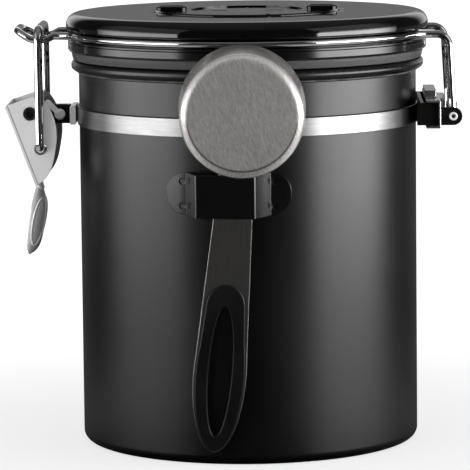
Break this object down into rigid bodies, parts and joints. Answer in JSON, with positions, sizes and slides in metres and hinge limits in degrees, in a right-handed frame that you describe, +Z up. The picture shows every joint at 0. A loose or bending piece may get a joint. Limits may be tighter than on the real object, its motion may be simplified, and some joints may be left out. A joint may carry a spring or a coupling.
{
  "type": "coffee canister with valve",
  "caption": "Dark coffee canister with a black bail lid, date dials, one-way valve, side lever latch and a round scoop held on its front.",
  "frame": {"origin": "middle of the flat base, on the canister's axis", "axes": "+Z up; latch on -X, hinge on +X, scoop on -Y"},
  "size_m": [0.1679, 0.1623, 0.1612],
  "materials": {
    "coated_steel": "satin",
    "black_steel": "satin",
    "bright_steel": "satin",
    "brushed_steel": "brushed",
    "wire_chrome": "polished",
    "lid_plastic": "gloss",
    "seal_rubber": "matte",
    "filter_felt": "matte",
    "grip_plastic": "matte"
  },
  "bodies": {
    "canister": {"canister_body": "coated_steel", "clamp_band": "bright_steel", "hinge_bracket": "black_steel", "hinge_keeper": "bright_steel", "latch_bracket": "black_steel", "latch_keeper": "bright_steel", "latch_screw": "bright_steel", "lock_tab": "bright_steel", "latch_nut": "bright_steel", "lever_rivet": "bright_steel", "scoop_holder": "black_steel"},
    "lid": {"lid_cap": "lid_plastic", "lid_base": "lid_plastic", "lid_seal": "seal_rubber", "lid_screws": "bright_steel", "bail_wire": "wire_chrome", "valve_housing": "lid_plastic", "valve_cage": "lid_plastic", "valve_filter": "filter_felt", "valve_grille": "lid_plastic"},
    "day_ring": {"day_dial": "lid_plastic"},
    "month_disc": {"month_dial": "lid_plastic", "dial_clip": "bright_steel"},
    "flap": {"valve_flap": "seal_rubber"},
    "lever": {"latch_lever": "bright_steel"},
    "link": {"link_wire": "wire_chrome"},
    "scoop": {"scoop_cup": "brushed_steel", "scoop_handle": "brushed_steel", "handle_grip": "grip_plastic", "scoop_rivets": "bright_steel"}
  },
  "joints": [
    {"name": "lid_hinge", "type": "hinge", "parent": "canister", "child": "lid", "pos_m": [0.0754, 0, 0.12165], "axis": [0, 1, 0], "range_deg": [0, 105]},
    {"name": "day_turn", "type": "hinge", "parent": "lid", "child": "day_ring", "pos_m": [0, 0, 0.159], "axis": [0, 0, 1], "continuous": true},
    {"name": "month_turn", "type": "hinge", "parent": "lid", "child": "month_disc", "pos_m": [0, 0, 0.159], "axis": [0, 0, 1], "continuous": true},
    {"name": "valve_lift", "type": "slide", "parent": "lid", "child": "flap", "axis": [0, 0, 1], "range_m": [0, 0.0008]},
    {"name": "lever_swing", "type": "hinge", "parent": "canister", "child": "lever", "pos_m": [-0.0799, 0, 0.123], "axis": [0, 1, 0], "range_deg": [0, 110]},
    {"name": "link_swing", "type": "hinge", "parent": "lever", "child": "link", "pos_m": [-0.0762, 0, 0.11], "axis": [0, 1, 0], "range_deg": [-80, 0]},
    {"name": "scoop_lift", "type": "slide", "parent": "canister", "child": "scoop", "axis": [0.0436, -0.024, 0.9988], "range_m": [0, 0.104]}
  ],
  "couplings": [
    {"joint": "link_swing", "follows": "lever_swing", "ratio": -0.72}
  ]
}
